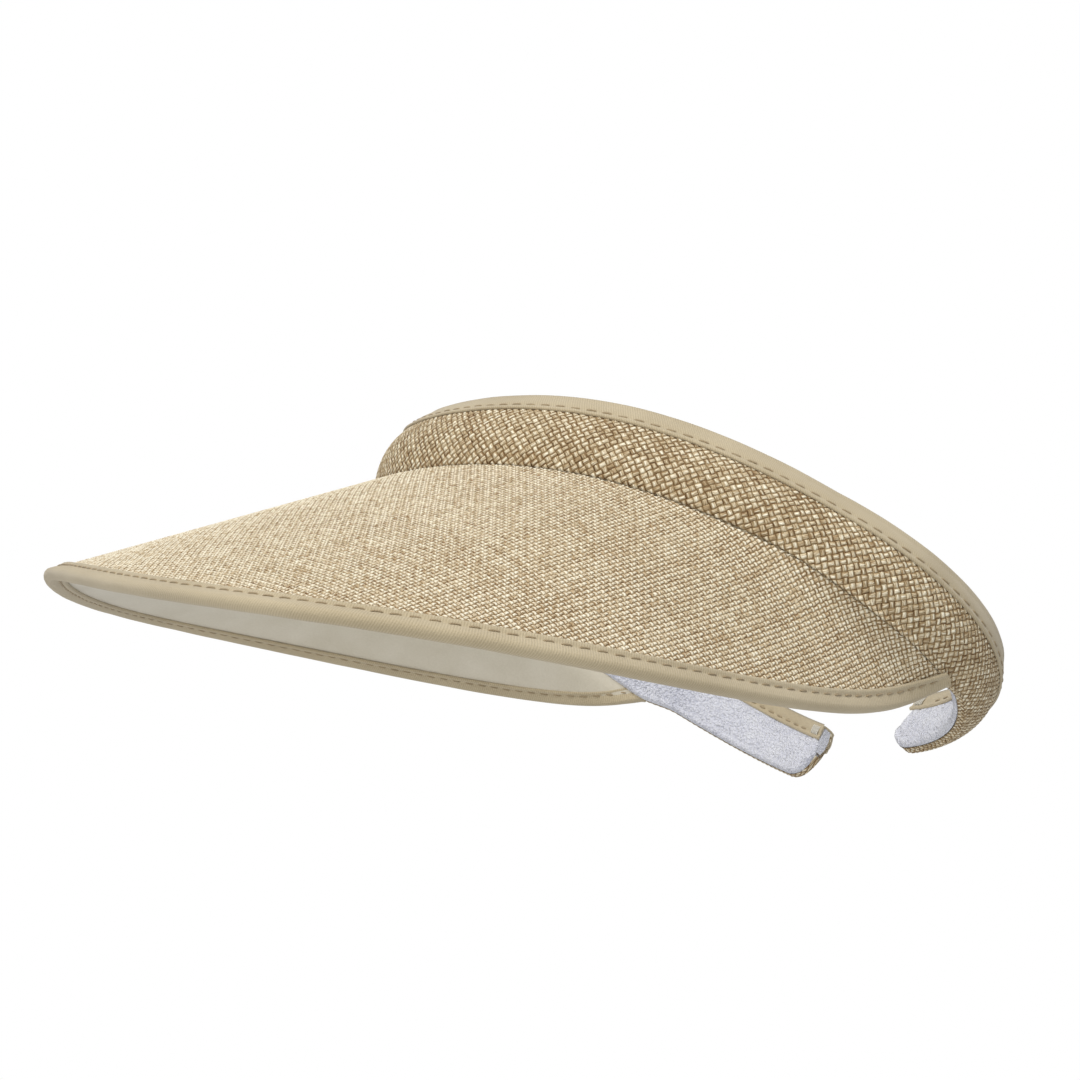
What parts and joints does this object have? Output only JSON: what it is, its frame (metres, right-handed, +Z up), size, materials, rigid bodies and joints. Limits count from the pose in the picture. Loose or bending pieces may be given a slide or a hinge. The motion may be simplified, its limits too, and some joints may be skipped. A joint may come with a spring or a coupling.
{
  "type": "sun visor",
  "caption": "Clip-on sun visor: long arched straw-cloth brim with taped edge on a padded open headband with terry sweatband and two springy arms that curl behind the head.",
  "frame": {"origin": "middle of the head opening, level with the lower edge of the band at the front", "axes": "+Z up along the head through the opening, -Y toward the front of the brim, +X toward the wearer's left"},
  "size_m": [0.2015, 0.1883, 0.0876],
  "materials": {
    "straw_cloth": "plain-woven paper straw, mixed cream and tan yarns",
    "khaki_tape": "fine twill bias tape",
    "terry": "short-looped terry, slightly bluish white",
    "lining_cloth": "smooth felted lining",
    "foam_pad": "soft foam, hidden",
    "stiffener_board": "thin flexible board, hidden",
    "spring_plastic": "springy plastic strip, hidden",
    "thread": "sewing thread"
  },
  "bodies": {
    "front": {"brim_cover": "straw_cloth", "brim_board": "stiffener_board", "brim_lining": "lining_cloth", "brim_binding": "khaki_tape", "brim_top_thread": "thread", "brim_under_thread": "thread", "band_cover": "straw_cloth", "band_foam": "foam_pad", "band_spring": "spring_plastic", "band_sweatband": "terry", "band_binding": "khaki_tape", "band_binding_thread": "thread"},
    "left_arm": {"left_arm_cover": "straw_cloth", "left_arm_foam": "foam_pad", "left_arm_spring": "spring_plastic", "left_arm_sweatband": "terry", "left_arm_binding": "khaki_tape", "left_arm_binding_thread": "thread", "left_arm_bartack": "thread"},
    "right_arm": {"right_arm_cover": "straw_cloth", "right_arm_foam": "foam_pad", "right_arm_spring": "spring_plastic", "right_arm_sweatband": "terry", "right_arm_binding": "khaki_tape", "right_arm_binding_thread": "thread", "right_arm_bartack": "thread"}
  },
  "joints": [
    {"name": "left_arm_flex", "type": "hinge", "parent": "front", "child": "left_arm", "pos_m": [0.0684, 0.0448, 0.0196], "axis": [0, 0, -1], "range_deg": [-8, 25], "stiffness_Nm_per_rad": 0.3},
    {"name": "right_arm_flex", "type": "hinge", "parent": "front", "child": "right_arm", "pos_m": [-0.0699, 0.0457, 0.0189], "axis": [0, 0, 1], "range_deg": [-8, 25], "stiffness_Nm_per_rad": 0.3}
  ]
}
